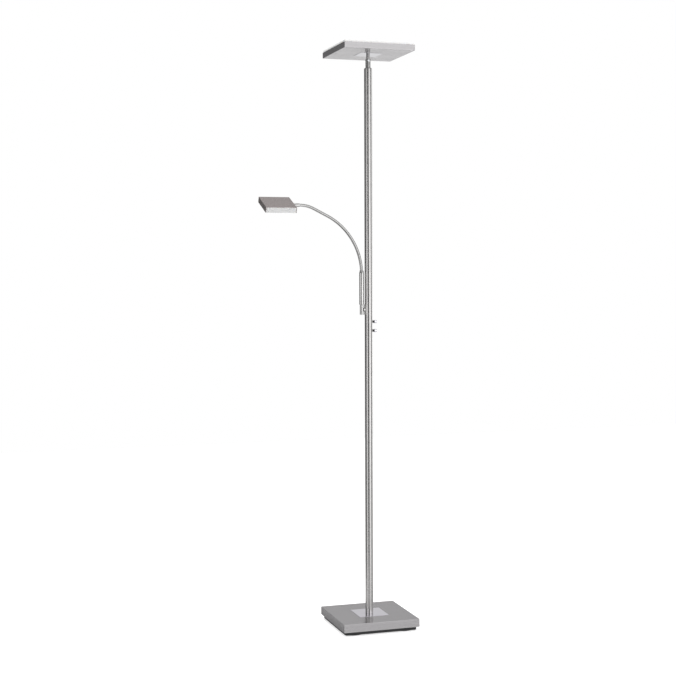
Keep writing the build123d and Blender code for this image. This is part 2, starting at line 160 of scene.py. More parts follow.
# radiance is the brightness that the metal sees in each panel
softboxes = {
    "keyRight": {"bearing": 42, "distance": 3.2, "height": 1.2, "size": (2.1, 2.3), "radiance": 1.05},
    "fillLeft": {"bearing": -47, "distance": 3.2, "height": 1.0, "size": (1.9, 1.7), "radiance": 1.05},
    "rimRight": {"bearing": 128, "distance": 3.0, "height": 1.7, "size": (1.2, 3.3), "radiance": 0.80},
}
overhead = {"height": 4.2, "size": 3.0, "radiance": 0.7}
flags = {
    "cameraFlag": {"bearing": -12, "distance": 4.6, "height": 1.3, "size": (2.8, 4.2), "grey": 0.06},
    "backFlag": {"bearing": -66, "distance": 3.9, "height": 1.3, "size": (5.0, 4.4), "grey": 0.30},
    "edgeFlag": {"bearing": -110, "distance": 3.2, "height": 1.3, "size": (1.6, 4.4), "grey": 0.05},
    "leftFlag": {"bearing": -132, "distance": 3.4, "height": 1.3, "size": (4.2, 4.4), "grey": 0.26},
    "sideFlag": {"bearing": 82, "distance": 3.4, "height": 1.3, "size": (1.6, 4.0), "grey": 0.26},
    # low cards square to two sides of the base
    "nearCard": {"bearing": 17.5, "distance": 0.28, "height": 0.03, "size": (0.7, 0.055), "grey": 0.86},
    "leftCard": {"bearing": -72.5, "distance": 0.28, "height": 0.03, "size": (1.6, 0.055), "grey": 1.0},
}
roomSet = {"upper": 0.64, "lower": 1.36, "floorHalf": 4.5, "floorColour": 0.78, "floorWhite": 0.58,
           "floorGloss": 0.85, "floorRough": 0.08}


def emission(name, grey):
    material = bpy.data.materials.new(name)
    material.use_nodes = True
    tree = material.node_tree
    tree.nodes.clear()
    shine = put(tree, "ShaderNodeEmission", {"Color": (grey, grey, grey, 1), "Strength": 1.0})
    put(tree, "ShaderNodeOutputMaterial", {"Surface": shine.outputs[0]})
    return material


def addLight(name, wide, tall, radiance):
    data = bpy.data.lights.new(name, "AREA")
    data.shape = "RECTANGLE"
    data.size, data.size_y = wide, tall
    data.energy = radiance * pi * wide * tall
    light = addObject(name, data)
    light.visible_camera = False
    return light


def square(name, wide, tall, material):
    x, y = wide / 2, tall / 2
    mesh = bpy.data.meshes.new(name)
    mesh.from_pydata([(-x, -y, 0), (x, -y, 0), (x, y, 0), (-x, y, 0)], [], [(0, 1, 2, 3)])
    mesh.materials.append(material)
    return addObject(name, mesh)


def addStudio():
    for name, settings in softboxes.items():
        light = addLight(name, *settings["size"], settings["radiance"])
        light.matrix_world = facingLamp(settings)
    for name, settings in flags.items():
        flag = square(name, *settings["size"], emission(name, settings["grey"]))
        flag.matrix_world = facingLamp(settings)
        flag.visible_camera = flag.visible_diffuse = flag.visible_shadow = False
    light = addLight("overhead", overhead["size"], overhead["size"], overhead["radiance"])
    light.location = (0, 0, overhead["height"])
    addRoom(roomSet)
    addFloor(roomSet)


def addRoom(settings):
    # white to the camera and to matt surfaces, and to the metal a grey room over a bright sweep
    world = bpy.data.worlds.new("room")
    world.use_nodes = True
    tree = world.node_tree
    tree.nodes.clear()
    where = put(tree, "ShaderNodeTexCoord").outputs["Generated"]
    split = put(tree, "ShaderNodeSeparateXYZ", {0: where}).outputs
    level = put(tree, "ShaderNodeMapRange", {
        "Value": split["Z"], "From Min": -0.06, "From Max": 0.02,
        "To Min": settings["lower"], "To Max": settings["upper"],
    })
    white = put(tree, "ShaderNodeBackground", {"Color": (1, 1, 1, 1)})
    room = put(tree, "ShaderNodeBackground", {"Color": (1, 1, 1, 1), "Strength": level.outputs["Result"]})
    path = put(tree, "ShaderNodeLightPath").outputs
    rays = {0: path["Is Camera Ray"], 1: path["Is Diffuse Ray"]}
    matt = put(tree, "ShaderNodeMath", rays, operation="MAXIMUM")
    mix = blendShaders(tree, matt.outputs[0], room, white)
    put(tree, "ShaderNodeOutputWorld", {"Surface": mix.outputs[0]})
    scene.world = world


def addFloor(settings):
    # pale floor, lifted to white for the camera, glossy to the metal and clear from below
    grey, wide = settings["floorColour"], settings["floorHalf"] * 2
    s = Shader("paleFloor")
    s.give("Base Color", (grey, grey, grey, 1))
    s.give("Roughness", 0.9)
    s.give("Specular IOR Level", 0.1)
    lift = s.put("ShaderNodeEmission", {"Strength": settings["floorWhite"]})
    lifted = s.put("ShaderNodeAddShader", {0: s.main.outputs[0], 1: lift.outputs[0]})
    gloss = s.put("ShaderNodeBsdfAnisotropic", {"Roughness": settings["floorRough"]})
    partGloss = blendShaders(s.tree, settings["floorGloss"], s.main, gloss)
    camera = s.put("ShaderNodeLightPath").outputs["Is Camera Ray"]
    seen = blendShaders(s.tree, camera, partGloss, lifted)
    back = s.put("ShaderNodeNewGeometry").outputs["Backfacing"]
    fromBelow = blendShaders(s.tree, back, seen, s.put("ShaderNodeBsdfTransparent"))
    feed(s.tree, s.tree.nodes["Material Output"].inputs["Surface"], fromBelow.outputs[0])
    square("floor", wide, wide, s.material)


addCamera(cameraSet)
addStudio()
print("studio ready")


# materials

def toned(colour, amount):
    return tuple(min(1.0, c * amount) for c in colour)


brushedLook = {"colour": (0.46, 0.449, 0.458), "rough": 0.20, "anisotropic": 1.0,
               "wear": 0.14, "blotch": 0.025}


def brushedSheet(name, centre, half, look=brushedLook, turn=(0, 0, 0)):
    # folded sheet brushed along its own length, a little brighter and smoother at its edges
    s = Shader(name)
    place = s.place(centre, turn)
    sheet = s.put("ShaderNodeUVMap", uv_map="sheetMap").outputs[0]
    grain = s.noise(s.stretch(sheet, (4.0, 2600.0, 1.0)), detail=4)
    bands = s.noise(s.stretch(sheet, (0.6, 240.0, 1.0)), detail=2)
    blotch = s.noise(place, scale=11.0, detail=3)
    worn = s.sums("MULTIPLY", s.edges(place, half, 0.0014), s.remap(blotch, 0.3, 1.0))
    base = look["colour"]
    shine = tuple(min(1.0, c + look["wear"]) for c in base)
    streaks = s.sums("ADD", s.sums("MULTIPLY", grain, 0.55), s.sums("MULTIPLY", bands, 0.45))
    tone = s.blendColours(s.remap(streaks, 0, 1, 0.34, 0.66), toned(base, 0.93), toned(base, 1.06))
    s.give("Base Color", s.blendColours(s.sums("MULTIPLY", worn, 0.7), tone, shine))
    fine = s.remap(grain, look["rough"] - 0.05, look["rough"] + 0.06)
    rough = s.sums("ADD", fine, s.remap(blotch, 0, look["blotch"]))
    s.give("Roughness", s.sums("SUBTRACT", rough, s.sums("MULTIPLY", worn, 0.08)))
    s.give("Metallic", 1.0)
    s.give("Anisotropic", look["anisotropic"])
    s.give("Anisotropic Rotation", 0.25)
    tangent = s.put("ShaderNodeTangent", direction_type="UV_MAP", uv_map="sheetMap")
    s.give("Tangent", tangent.outputs[0])
    s.bump(grain, 0.00002, 0.6)
    return s.material


def brushedRound(name, colour, rough, along, lineScale=3200.0, runScale=16.0, anisotropic=0.5):
    # round bar or tube with its grain along one axis, or around it when along ends in "ring"
    s = Shader(name)
    place = s.place()
    index = {"x": 0, "y": 1, "z": 2}[along[0]]
    fine = [lineScale] * 3
    fine[index] = runScale
    if along.endswith("ring"):  # grooves that run round the axis
        fine = [runScale] * 3
        fine[index] = lineScale
        tangent = s.put("ShaderNodeTangent", direction_type="RADIAL", axis=along[0].upper())
        s.give("Tangent", tangent.outputs[0])
        s.give("Anisotropic Rotation", 0.25)
    coarse = [v / 53.0 for v in fine]
    grain = s.noise(s.stretch(place, fine), detail=4)
    bands = s.noise(s.stretch(place, coarse), detail=2)
    blotch = s.noise(place, scale=17.0, detail=3)
    streaks = s.sums("ADD", s.sums("MULTIPLY", grain, 0.5), s.sums("MULTIPLY", bands, 0.5))
    tone = s.remap(streaks, 0, 1, 0.35, 0.65)
    s.give("Base Color", s.blendColours(tone, toned(colour, 0.95), toned(colour, 1.04)))
    worked = s.remap(grain, rough - 0.04, rough + 0.05)
    s.give("Roughness", s.sums("ADD", worked, s.remap(blotch, 0, 0.04)))
    s.give("Metallic", 1.0)
    s.give("Anisotropic", anisotropic)
    s.bump(grain, 0.000015, 0.5)
    return s.material


def polished(name, colour=(0.83, 0.82, 0.84), rough=0.035, grazing=1.0):
    # mirror finish with faint smudges and hairline scratches, and duller at a flat angle below grazing 1
    s = Shader(name)
    place = s.place()
    smudge = s.noise(place, scale=38.0, detail=5, rough=0.65)
    hairs = s.noise(s.stretch(place, (60.0, 3600.0, 3600.0)), detail=2)
    tone = s.blendColours(s.remap(smudge, 0, 1, 0.45, 0.75), colour, toned(colour, 0.93))
    s.give("Base Color", tone)
    mist = s.sums("ADD", s.remap(smudge, 0, 0.07, 0.45, 0.8), s.remap(hairs, 0, 0.05, 0.62, 0.8))
    s.give("Roughness", s.sums("ADD", mist, rough))
    s.give("Metallic", 1.0)
    s.bump(hairs, 0.000004, 0.3)
    s.give("Specular Tint", (grazing, grazing, grazing, 1))
    return s.material


def moulded(name, colour, rough, grainScale=1500.0, grainDepth=0.00003, spread=0.06,
            coat=0.0, subsurface=0.0, tint=0.85):
    # moulded plastic, rubber, casting or lacquer: fine texture and slow changes of tone
    s = Shader(name)
    place = s.place()
    grain = s.noise(place, scale=grainScale, detail=3, rough=0.6)
    cloud = s.noise(place, scale=26.0, detail=4)
    tone = s.blendColours(s.remap(cloud, 0, 1), colour, toned(colour, tint))
    s.give("Base Color", tone)
    mixed = s.sums("MULTIPLY", s.sums("ADD", grain, cloud), 0.5)
    s.give("Roughness", s.remap(mixed, rough - spread, rough + spread))
    s.give("Coat Weight", coat)
    if subsurface:
        s.give("Subsurface Weight", subsurface)
        s.give("Subsurface Radius", (0.012, 0.011, 0.010))
        s.give("Subsurface Scale", 1.0)
        s.give("IOR", 1.49)
    s.bump(grain, grainDepth, 0.5)
    return s.material


# mesh helpers

def shadeSmooth(mesh, angle=32):
    for face in mesh.polygons:
        face.use_smooth = True
    mesh.set_sharp_from_angle(angle=radians(angle))


def bakeModifiers(piece):
    # the evaluated shape becomes a plain mesh
    graph = bpy.context.evaluated_depsgraph_get()
    mesh = bpy.data.meshes.new_from_object(piece.evaluated_get(graph))
    piece.modifiers.clear()
    piece.data = mesh
    mesh.name = piece.name
    return piece


def softened(profile, steps=4):
    # outline points are (radius, along) or (radius, along, corner), and a corner becomes an arc
    points = []
    count = len(profile)
    for i, point in enumerate(profile):
        here = Vector(point[:2])
        if len(point) < 3:
            points.append(here)
            continue
        before = (Vector(profile[i - 1][:2]) - here).normalized()
        after = (Vector(profile[(i + 1) % count][:2]) - here).normalized()
        half = before.angle(after) / 2
        middle = here + (before + after).normalized() * (point[2] / sin(half))
        start = here + before * (point[2] / tan(half)) - middle
        end = here + after * (point[2] / tan(half)) - middle
        for k in range(steps + 1):
            points.append(middle + start.slerp(end, k / steps) * point[2])
    return points


def lathe(name, profile, axis="z", at=(0, 0, 0), segments=96, hollow=False):
    # a body turned about an axis: its outline runs from pole to pole, or is a closed loop when hollow
    points = softened(profile)
    bm = bmesh.new()
    rings = []
    for radius, along in points:
        if radius < 1e-7:
            rings.append([bm.verts.new((0, 0, along))])
            continue
        angles = [2 * pi * k / segments for k in range(segments)]
        rings.append([bm.verts.new((radius * cos(a), radius * sin(a), along)) for a in angles])
    pairs = list(zip(rings, rings[1:]))
    if hollow:
        pairs.append((rings[-1], rings[0]))
    for first, second in pairs:
        for k in range(segments):
            n = (k + 1) % segments
            near = [first[k % len(first)], first[n % len(first)]]
            far = [second[n % len(second)], second[k % len(second)]]
            loop = list(dict.fromkeys(near + far))
            if len(loop) > 2:
                bm.faces.new(loop)
    bmesh.ops.recalc_face_normals(bm, faces=bm.faces)
    mesh = meshFrom(bm, name)
    turns = {
        "z": Matrix.Identity(4),
        "x": Matrix.Rotation(pi / 2, 4, "Y"),
        "y": Matrix.Rotation(-pi / 2, 4, "X"),
    }
    mesh.transform(Matrix.Translation(at) @ turns[axis])
    shadeSmooth(mesh)
    return addObject(name, mesh)


def meshFrom(bm, name):
    mesh = bpy.data.meshes.new(name)
    bm.to_mesh(mesh)
    bm.free()
    return mesh


def boxMesh(low, high):
    bm = bmesh.new()
    bmesh.ops.create_cube(bm, size=1.0)
    bmesh.ops.scale(bm, vec=Vector(high) - Vector(low), verts=bm.verts)
    bmesh.ops.translate(bm, vec=(Vector(high) + Vector(low)) / 2, verts=bm.verts)
    return bm


def cut(piece, cutters):
    for cutter in cutters:
        boolean = piece.modifiers.new("cut", "BOOLEAN")
        boolean.operation = "DIFFERENCE"
        boolean.solver = "EXACT"
        boolean.object = cutter
    bakeModifiers(piece)
    for cutter in cutters:
        bpy.data.objects.remove(cutter)
    return piece


def finishEdges(piece, width, steps=2, angle=40):
    # a fine broken edge, then normals that keep the flats flat
    bevel = piece.modifiers.new("edge", "BEVEL")
    bevel.width = width
    bevel.segments = steps
    bevel.limit_method = "ANGLE"
    bevel.angle_limit = radians(angle)
    bakeModifiers(piece)
    shadeSmooth(piece.data, 50)
    weighted = piece.modifiers.new("flats", "WEIGHTED_NORMAL")
    weighted.keep_sharp = True
    return bakeModifiers(piece)


def casing(name, low, high, settings, openSides, holes=()):
    # a box with one or more open sides, rounded outside and square inside
    wall = settings["wall"]
    bm = boxMesh(low, high)
    isOpen = {f: any(f.normal.dot(Vector(side)) > 0.9 for side in openSides) for f in bm.faces}
    folds = [e for e in bm.edges if not any(isOpen[f] for f in e.link_faces)]
    bmesh.ops.bevel(bm, geom=folds, offset=settings["round"], segments=5, affect="EDGES", profile=0.5)
    piece = addObject(name, meshFrom(bm, name))
    innerLow = Vector(low) + Vector((wall, wall, wall))
    innerHigh = Vector(high) - Vector((wall, wall, wall))
    for side in openSides:
        for i in range(3):
            if side[i] < 0:
                innerLow[i] = low[i] - wall
            if side[i] > 0:
                innerHigh[i] = high[i] + wall
    inside = addObject("inside", meshFrom(boxMesh(innerLow, innerHigh), "inside"))
    cut(piece, [inside, *holes])
    return finishEdges(piece, settings["edge"])


def plate(name, low, high, edge, holes=()):
    piece = addObject(name, meshFrom(boxMesh(low, high), name))
    if holes:
        cut(piece, holes)
    return finishEdges(piece, edge, steps=3)


def unfold(piece, low, high, foldZ):
    # lays the folded sheet out flat as a map in metres, so that its grain runs over the bends
    mesh = piece.data
    layer = mesh.uv_layers.new(name="sheetMap")
    centre = (Vector(low) + Vector(high)) / 2
    for face in mesh.polygons:
        facing = max(range(3), key=lambda i: abs(face.normal[i]))
        for loop in face.loop_indices:
            point = mesh.vertices[mesh.loops[loop].vertex_index].co
            down = abs(point.z - foldZ)
            flat = point - centre
            if facing < 2:
                flat[facing] += copysign(down, flat[facing])
            layer.data[loop].uv = (flat.x, flat.y)
    return piece


def rod(diameter, start, end, axis="z", at=(0, 0, 0), segments=64):
    radius = diameter / 2
    return lathe("rod", [(0, start), (radius, start), (radius, end), (0, end)], axis, at, segments)


def midOf(node):
    low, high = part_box(node)
    return (low + high) / 2


def ready(piece, body, material=None, replaced=()):
    if material:
        piece.data.materials.clear()
        piece.data.materials.append(material)
    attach(piece, body)
    if replaced:
        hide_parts(*replaced)
    return piece


# geometry node trees

def startTree(name, sockets):
    tree = bpy.data.node_groups.new(name, "GeometryNodeTree")
    tree.interface.new_socket("Geometry", in_out="OUTPUT", socket_type="NodeSocketGeometry")
    tree.interface.new_socket("Geometry", in_out="INPUT", socket_type="NodeSocketGeometry")
    for label, kind in sockets:
        tree.interface.new_socket(label, in_out="INPUT", socket_type="NodeSocket" + kind)
    return tree, tree.nodes.new("NodeGroupInput").outputs, tree.nodes.new("NodeGroupOutput")


def endTree(tree, given, result, geometry):
    # every tree ends in real geometry with its finish set
    real = put(tree, "GeometryNodeRealizeInstances", {"Geometry": geometry}).outputs[0]
    finish = put(tree, "GeometryNodeSetMaterial", {"Geometry": real, "Material": given["Finish"]})
    feed(tree, result.inputs[0], finish.outputs[0])
    return tree


def gridTree():
    # copies of one part at the crossings of a grid, each turned a little differently
    tree, given, result = startTree("gridOfParts", [
        ("Columns", "Int"), ("Rows", "Int"), ("Width", "Float"), ("Depth", "Float"),
        ("Part", "Object"), ("Turn", "Float"), ("Seed", "Int"), ("Finish", "Material"),
    ])
    grid = put(tree, "GeometryNodeMeshGrid", {
        "Size X": given["Width"], "Size Y": given["Depth"],
        "Vertices X": given["Columns"], "Vertices Y": given["Rows"],
    })
    part = put(tree, "GeometryNodeObjectInfo", {"Object": given["Part"]})
    back = put(tree, "ShaderNodeMath", {0: given["Turn"], 1: -1}, operation="MULTIPLY")
    spin = put(tree, "FunctionNodeRandomValue", {"Seed": given["Seed"]}, data_type="FLOAT")
    least, most = [s for s in spin.inputs if s.type == "VALUE" and s.enabled]
    feed(tree, least, back.outputs[0])
    feed(tree, most, given["Turn"])
    angle = [s for s in spin.outputs if s.type == "VALUE"][0]
    turn = put(tree, "ShaderNodeCombineXYZ", {"Z": angle})
    copies = put(tree, "GeometryNodeInstanceOnPoints", {
        "Points": grid.outputs["Mesh"], "Instance": part.outputs["Geometry"], "Rotation": turn.outputs[0],
    })
    return endTree(tree, given, result, copies.outputs[0])


def capture(tree, kind, name, geometry, value):
    node = put(tree, "GeometryNodeCaptureAttribute")
    node.capture_items.new(kind, name)
    feed(tree, node.inputs["Geometry"], geometry)
    feed(tree, node.inputs[name], value)
    return node.outputs


def bentTubeTree():
    # a round tube along straight runs, with its own radius at each of two bends
    tree, given, result = startTree("bentTube", [
        ("Diameter", "Float"), ("First bend", "Float"), ("Second bend", "Float"),
        ("Ring segments", "Int"), ("Finish", "Material"),
    ])
    runs = put(tree, "GeometryNodeMeshToCurve", {"Mesh": given["Geometry"]})
    first = put(tree, "FunctionNodeCompare", data_type="INT", operation="EQUAL")
    whole = [s for s in first.inputs if s.type == "INT" and s.enabled]
    feed(tree, whole[0], put(tree, "GeometryNodeInputIndex").outputs[0])
    feed(tree, whole[1], 1)
    radius = put(tree, "GeometryNodeSwitch", {
        "Switch": first.outputs[0], "False": given["Second bend"], "True": given["First bend"],
    }, input_type="FLOAT")
    bends = put(tree, "GeometryNodeFilletCurve", {
        "Count": 40, "Curve": runs.outputs[0], "Radius": radius.outputs[0],
    }, mode="POLY")
    half = put(tree, "ShaderNodeMath", {0: given["Diameter"], 1: 0.5}, operation="MULTIPLY").outputs[0]
    ring = put(tree, "GeometryNodeCurvePrimitiveCircle", {
        "Resolution": given["Ring segments"], "Radius": half,
    })
    # each point keeps the place that it had before bending, for the grain
    position = put(tree, "GeometryNodeInputPosition").outputs[0]
    around = capture(tree, "VECTOR", "around", ring.outputs[0], position)
    length = put(tree, "GeometryNodeSplineParameter").outputs["Length"]
    along = capture(tree, "FLOAT", "along", bends.outputs[0], length)
    wall = put(tree, "GeometryNodeCurveToMesh", {
        "Fill Caps": True, "Curve": along["Geometry"], "Profile Curve": around["Geometry"],
    })
    split = put(tree, "ShaderNodeSeparateXYZ", {0: around["around"]}).outputs
    straight = put(tree, "ShaderNodeCombineXYZ", {"X": split["X"], "Y": split["Y"], "Z": along["along"]})
    store = put(tree, "GeometryNodeStoreNamedAttribute", {"Name": "unbent", "Geometry": wall.outputs[0]},
                data_type="FLOAT_VECTOR", domain="POINT")
    kept = [i for i in store.inputs if i.name == "Value" and i.enabled][0]
    feed(tree, kept, straight.outputs[0])
    return endTree(tree, given, result, store.outputs[0])


def ridgeTree():
    # small ridges round a turned body, for grip
    tree, given, result = startTree("ridgesRound", [
        ("Count", "Int"), ("Ring radius", "Float"), ("Ridge", "Vector"), ("Height", "Float"),
        ("Finish", "Material"),
    ])
    ring = put(tree, "GeometryNodeCurvePrimitiveCircle", {
        "Resolution": given["Count"], "Radius": given["Ring radius"],
    })
    tangent = put(tree, "GeometryNodeInputTangent").outputs[0]
    facing = put(tree, "FunctionNodeAlignRotationToVector", {"Vector": tangent}, axis="Y", pivot_axis="Z")
    block = put(tree, "GeometryNodeMeshCube", {"Size": given["Ridge"]})
    copies = put(tree, "GeometryNodeInstanceOnPoints", {
        "Points": ring.outputs[0], "Instance": block.outputs["Mesh"], "Rotation": facing.outputs[0],
    })
    shift = put(tree, "ShaderNodeCombineXYZ", {"Z": given["Height"]}).outputs[0]
    lift = put(tree, "GeometryNodeTransform", {"Geometry": copies.outputs[0], "Translation": shift})
    both = put(tree, "GeometryNodeJoinGeometry")
    feed(tree, both.inputs[0], given["Geometry"])
    feed(tree, both.inputs[0], lift.outputs[0])
    return endTree(tree, given, result, both.outputs[0])


def grow(name, tree, values, base=None, place=None):
    # runs a tree on a base mesh and keeps the result as a plain mesh
    piece = addObject(name, base or bpy.data.meshes.new(name))
    modifier = piece.modifiers.new(tree.name, "NODES")
    modifier.node_group = tree
    for item in tree.interface.items_tree:
        if item.in_out == "INPUT" and item.name in values:
            modifier[item.identifier] = values[item.name]
    bakeModifiers(piece)
    if place:
        piece.data.transform(place)
    return piece


partsOnGrid, bentTube, ridgesRound = gridTree(), bentTubeTree(), ridgeTree()
print("helpers and node trees ready")


# finishes

poleFinish = brushedRound("satinSteelPole", (0.58, 0.57, 0.565), 0.20, "zring", anisotropic=1.0)
fittingFinish = brushedRound("turnedSteel", (0.58, 0.575, 0.57), 0.2, "zring", lineScale=2600.0)
neckFinish = brushedRound("turnedSteelNeck", (0.44, 0.435, 0.43), 0.2, "zring", lineScale=2600.0)
zincFinish = brushedRound("zincPlate", (0.66, 0.68, 0.70), 0.3, "zring", lineScale=1800.0, anisotropic=0.2)
brassFinish = brushedRound("turnedBrass", (0.72, 0.52, 0.24), 0.24, "zring", lineScale=2200.0)
aluminiumFinish = brushedRound("rolledAluminium", (0.72, 0.73, 0.74), 0.34, "y", lineScale=1500.0,
                               anisotropic=0.3)
chromeFinish = polished("polishedChrome", (0.80, 0.78, 0.84))
# the base plate's chrome made darker, with dulled grazing reflection: painted shade for the chrome plate
# under the uplighter
shadedUnderChrome = polished("smokedChrome", (0.46, 0.455, 0.48), grazing=0.72)
ironFinish = moulded("castIron", (0.055, 0.052, 0.05), 0.72, grainScale=900.0, grainDepth=0.0003,
                     spread=0.1)
trayFinish = moulded("blackPlastic", (0.022, 0.022, 0.024), 0.45, grainScale=2200.0, grainDepth=0.00006)
rubberFinish = moulded("blackRubber", (0.028, 0.027, 0.027), 0.68, grainScale=1300.0,
                       grainDepth=0.00008, tint=0.7)
whitePlastic = moulded("whitePlastic", (0.72, 0.72, 0.70), 0.42, grainScale=2000.0, tint=0.94)
opalFinish = moulded("opalAcrylic", (0.91, 0.90, 0.89), 0.24, grainScale=700.0, grainDepth=0.00002,
                     coat=0.3, subsurface=0.35, tint=0.985)


def boardFinish(name, pitch):
    # white solder mask with faint copper runs under it
    s = Shader(name)
    place = s.place()
    runs = s.put("ShaderNodeTexBrick", {
        "Vector": place, "Scale": 1.0 / pitch, "Mortar Size": 0.03, "Mortar Smooth": 0.2,
        "Color1": (0.80, 0.80, 0.78, 1), "Color2": (0.77, 0.78, 0.76, 1), "Mortar": (0.60, 0.60, 0.57, 1),
    }, offset=0.5, squash=1.0)
    s.give("Base Color", runs.outputs["Color"])
    speckle = s.noise(place, scale=900.0)
    s.give("Roughness", s.remap(speckle, 0.3, 0.42))
    s.bump(runs.outputs["Fac"], 0.00003, 0.4)
    return s.material


def ledFinish(name):
    # yellow phosphor in the window of a white package
    s = Shader(name)
    window = s.put("ShaderNodeAttribute", attribute_name="phosphor")
    speckle = s.noise(s.place(), scale=4200.0, detail=2)
    yellow = s.blendColours(s.remap(speckle, 0, 1), (0.85, 0.62, 0.10), (0.95, 0.74, 0.22))
    white = s.blendColours(s.remap(speckle, 0, 1), (0.80, 0.80, 0.78), (0.88, 0.88, 0.86))
    s.give("Base Color", s.blendColours(window.outputs["Fac"], white, yellow))
    s.give("Roughness", s.remap(speckle, 0.22, 0.38))
    s.bump(speckle, 0.00001, 0.4)
    return s.material


boardMask = boardFinish("boardMask", 0.012)
ledMix = ledFinish("ledPackage")
print("finishes ready")


# pole

poleSet = {"diameter": 0.025, "wall": 0.0012, "chamfer": 0.0003, "pinHole": 0.0064, "buttonHole": 0.0086,
           "segments": 128}
capSet = {"chamfer": 0.0025, "plug": 0.0225, "bore": 0.0101, "reach": 0.016}


def makePole(settings):
    outside, inside = settings["diameter"] / 2, settings["diameter"] / 2 - settings["wall"]
    c = settings["chamfer"]
    lengths = (("pole_lower", "poleLower"), ("pole_middle", "poleMiddle"), ("pole_upper", "poleUpper"))
    for node, name in lengths:
        bottom, top = (corner.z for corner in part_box(node))
        outline = [(inside, bottom), (outside - c, bottom), (outside, bottom + c),
                   (outside, top - c), (outside - c, top), (inside, top)]
        tube = lathe(name, outline, segments=settings["segments"], hollow=True)
        if node == "pole_middle":
            holes = [rod(settings["pinHole"], -0.02, 0, "x", (0, 0, midOf("arm_pin").z))]
            for button in ("uplight_button", "reading_button"):
                holes.append(rod(settings["buttonHole"], 0, 0.02, "x", (0, 0, midOf(button).z)))
            cut(tube, holes)
            shadeSmooth(tube.data)
        ready(tube, "stand", poleFinish, [node])


def makeCap(settings, pole):
    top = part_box("pole_top_cap")[1].z
    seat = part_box("pole_upper")[1].z
    outside, bore, plug = pole["diameter"] / 2, settings["bore"] / 2, settings["plug"] / 2
    c = settings["chamfer"]
    outline = [(bore, seat - settings["reach"]), (plug, seat - settings["reach"]), (plug, seat),
               (outside - 0.0002, seat), (outside, seat + 0.0002), (outside, top - c, 0.0005),
               (outside - c, top, 0.0005), (bore, top)]
    ready(lathe("poleTopCap", outline, segments=pole["segments"], hollow=True), "stand",
          poleFinish, ["pole_top_cap"])


makePole(poleSet)
makeCap(capSet, poleSet)
print("pole made")


# base

coverSet = {"wall": 0.0015, "round": 0.0009, "edge": 0.00015, "stemHole": 0.0106, "grommetHole": 0.012}
trimSet = {"edge": 0.00012, "baseHole": 0.0106, "uplightHole": 0.0104}
footSet = {"diameter": 0.060, "rib": 0.0012, "ribs": 5, "round": 0.0014, "ribCentre": 0.004,
           "ribStart": 0.0052, "ribPitch": 0.0048, "ribSlope": 0.0003, "grooveDeep": 0.0006}
baseScrewSet = {"diameter": 0.0039, "head": 0.008, "headHigh": 0.0020, "socket": 0.003, "length": 0.022}
grommetSet = {"flange": 0.015, "lip": 0.0012, "bore": 0.007, "neck": 0.0119, "tail": 0.014}


def makeBaseCover(settings):
    low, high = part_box("base_cover")
    inlet = midOf("cord_grommet").z
    holes = [rod(settings["stemHole"], high.z - 0.01, high.z + 0.01),
             rod(settings["grommetHole"], high.y - 0.005, high.y + 0.005, "y", (0, 0, inlet))]
    cover = casing("baseCover", low, high, settings, [(0, 0, -1)], holes)
    unfold(cover, low, high, high.z)
    finish = brushedSheet("brushedBase", (low + high) / 2, (high - low) / 2)
    ready(cover, "stand", finish, ["base_cover"])


def makeTrim(node, name, body, hole, finish):
    low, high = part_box(node)
    trim = plate(name, low, high, trimSet["edge"], [rod(hole, low.z - 0.01, high.z + 0.01)])
    ready(trim, body, finish, [node])


def grownOnGrid(name, part, finish, centre, columns, rows, width, depth, turn=0.0, seed=1, place=None):
    values = {"Part": part, "Columns": columns, "Rows": rows, "Width": width, "Depth": depth,
              "Turn": turn, "Seed": seed, "Finish": finish}
    piece = grow(name, partsOnGrid, values, place=place or Matrix.Translation(centre))
    bpy.data.objects.remove(part)
    return piece


def makeFeet(settings):
    low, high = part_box("rubber_feet")
    radius, deep = settings["diameter"] / 2, high.z - low.z
    rib = settings["rib"]
    slope, groove = settings["ribSlope"], settings["grooveDeep"]
    outline = [(0, groove), (settings["ribCentre"], groove)]
    for i in range(settings["ribs"]):
        start = settings["ribStart"] + i * settings["ribPitch"]  # rings that grip the floor
        outline += [(start, groove), (start + slope, 0.0)]
        outline += [(start + rib, 0.0), (start + rib + slope, groove)]
    outline += [(radius, 0.0, settings["round"]), (radius, deep), (0, deep)]
    foot = lathe("foot", outline, segments=72)
    span = high.x - low.x - settings["diameter"]
    feet = grownOnGrid("rubberFeet", foot, rubberFinish, (0, 0, low.z), 2, 2, span, span)
    ready(feet, "stand", None, ["rubber_feet"])


def makeBaseScrews(settings):
    low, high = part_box("base_screws")
    head, shaft = settings["head"] / 2, settings["diameter"] / 2
    bottom = -settings["headHigh"]
    outline = [(0, bottom), (head, bottom, 0.0009), (head, 0), (shaft, 0)]
    turns = 14
    pitch = settings["length"] / (turns + 1)
    for i in range(turns):
        outline += [(shaft, pitch * (i + 0.25)), (shaft * 0.78, pitch * (i + 0.75))]
    outline += [(shaft * 0.4, settings["length"]), (0, settings["length"])]
    screw = lathe("screw", outline, segments=40)
    socket = rod(settings["socket"] * 1.1547, bottom - 0.001, bottom + 0.0014, segments=6)
    cut(screw, [socket])
    shadeSmooth(screw.data)
    wide, deep = high.x - low.x - settings["head"], high.y - low.y - settings["head"]
    centre = (0, 0, low.z + settings["headHigh"])
    screws = grownOnGrid("baseScrews", screw, zincFinish, centre, 2, 2, wide, deep, turn=3.0)
    ready(screws, "stand", None, ["base_screws"])


